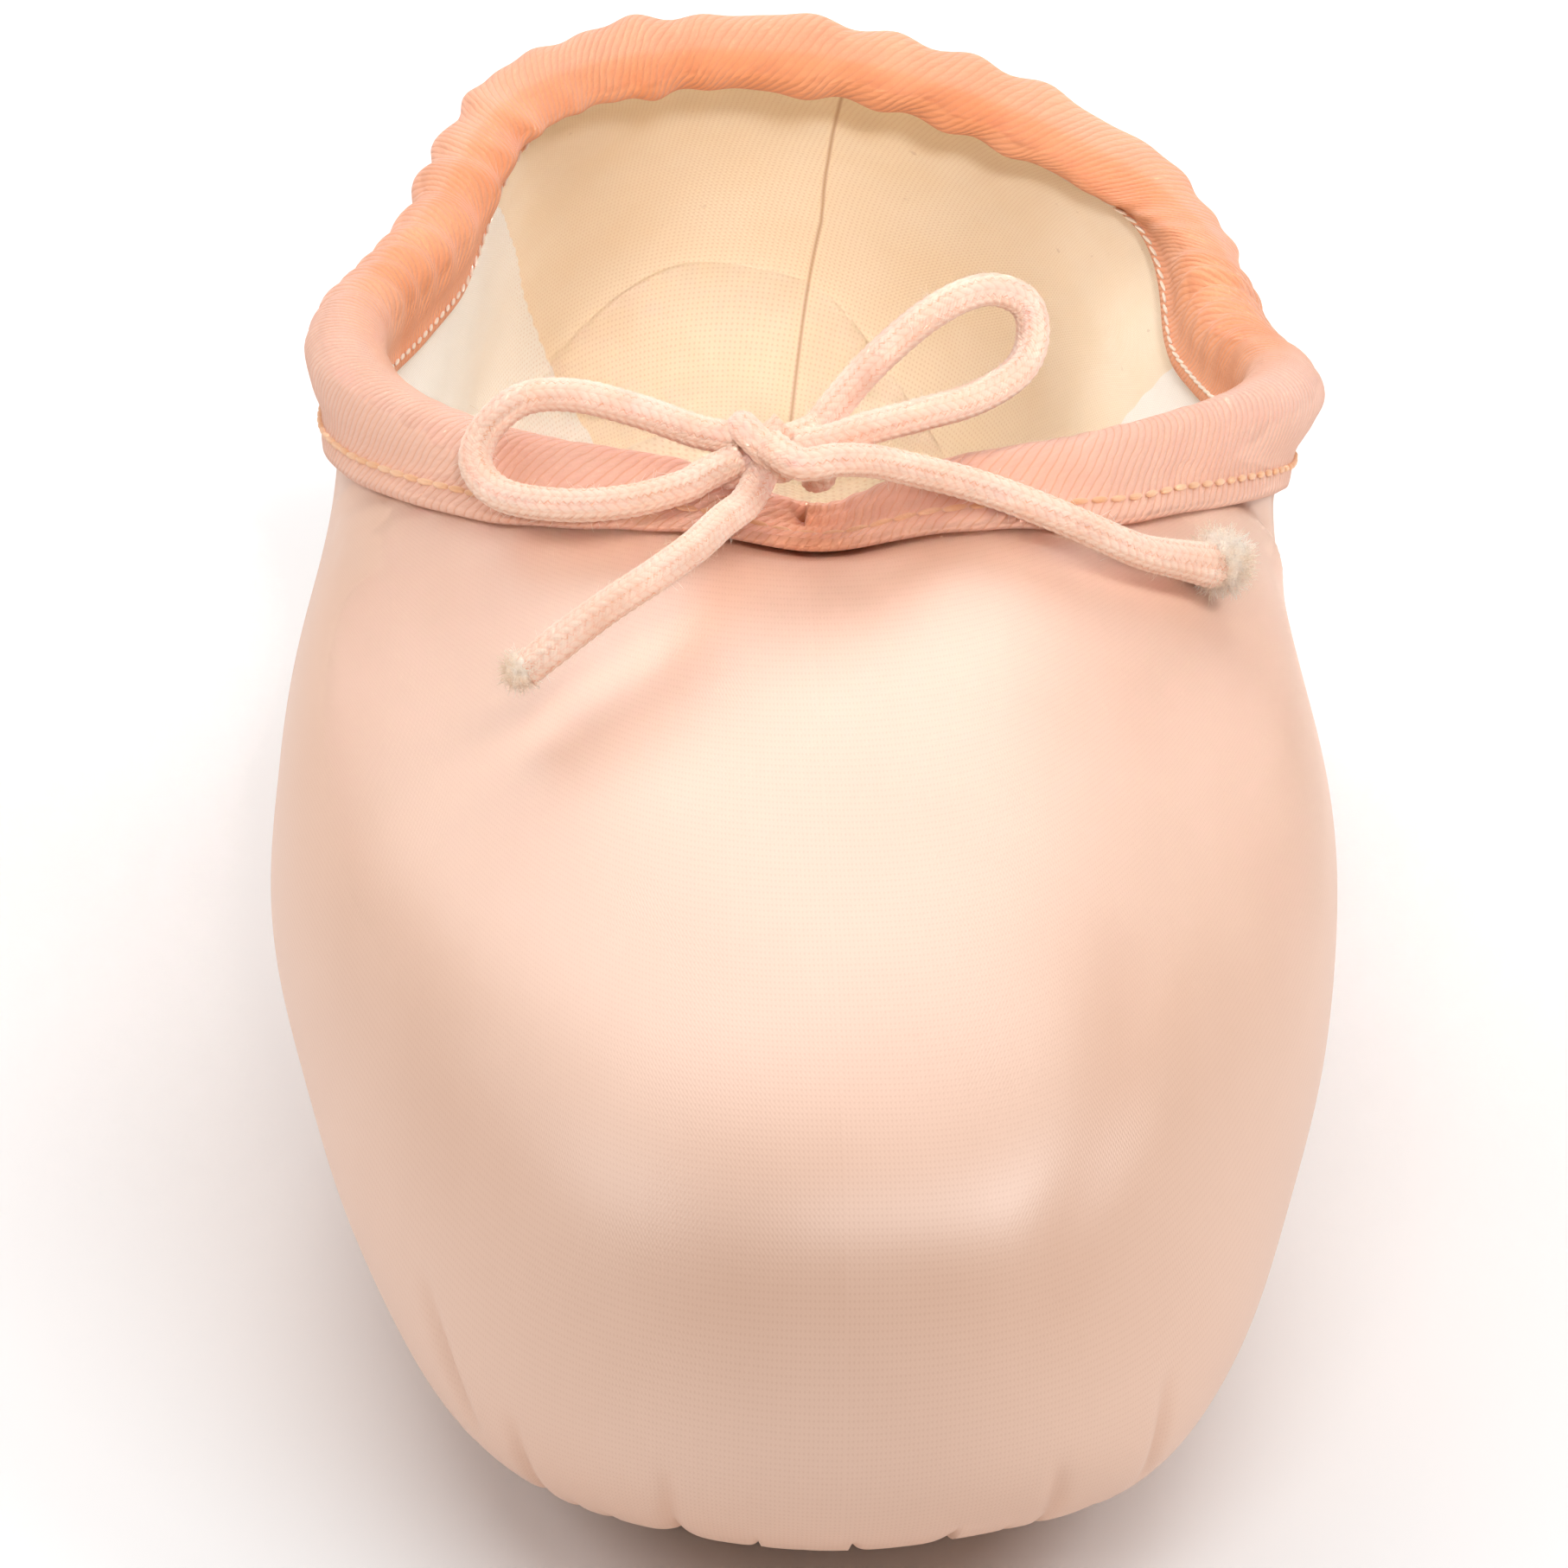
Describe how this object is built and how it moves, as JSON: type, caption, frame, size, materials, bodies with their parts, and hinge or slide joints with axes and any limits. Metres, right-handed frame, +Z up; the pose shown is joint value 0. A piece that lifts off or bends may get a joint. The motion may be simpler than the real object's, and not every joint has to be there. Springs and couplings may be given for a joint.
{
  "type": "pointe shoe",
  "caption": "Satin pointe shoe with a stiff toe box, a thin leather outsole, a bound collar and a cotton drawstring tied in a bow at the throat.",
  "frame": {"origin": "on the floor, under the middle of the shoe's length and width, drawstring left out", "axes": "+Z up, toe towards -Y, heel towards +Y, +X to the right as seen from in front of the toe"},
  "size_m": [0.0822, 0.2232, 0.071],
  "materials": {
    "satin": "peach pink satin, soft sheen",
    "sole_leather": "raw tan leather",
    "canvas": "tan cotton canvas",
    "binding_tape": "twill tape, matt",
    "cord": "braided cotton, matt"
  },
  "bodies": {
    "root": {"upper": "satin", "outsole": "sole_leather", "insole": "canvas", "collar_binding": "binding_tape", "drawstring_knot": "cord", "drawstring_loop_left": "cord", "drawstring_loop_right": "cord", "drawstring_end_left": "cord", "drawstring_end_right": "cord"}
  },
  "joints": []
}
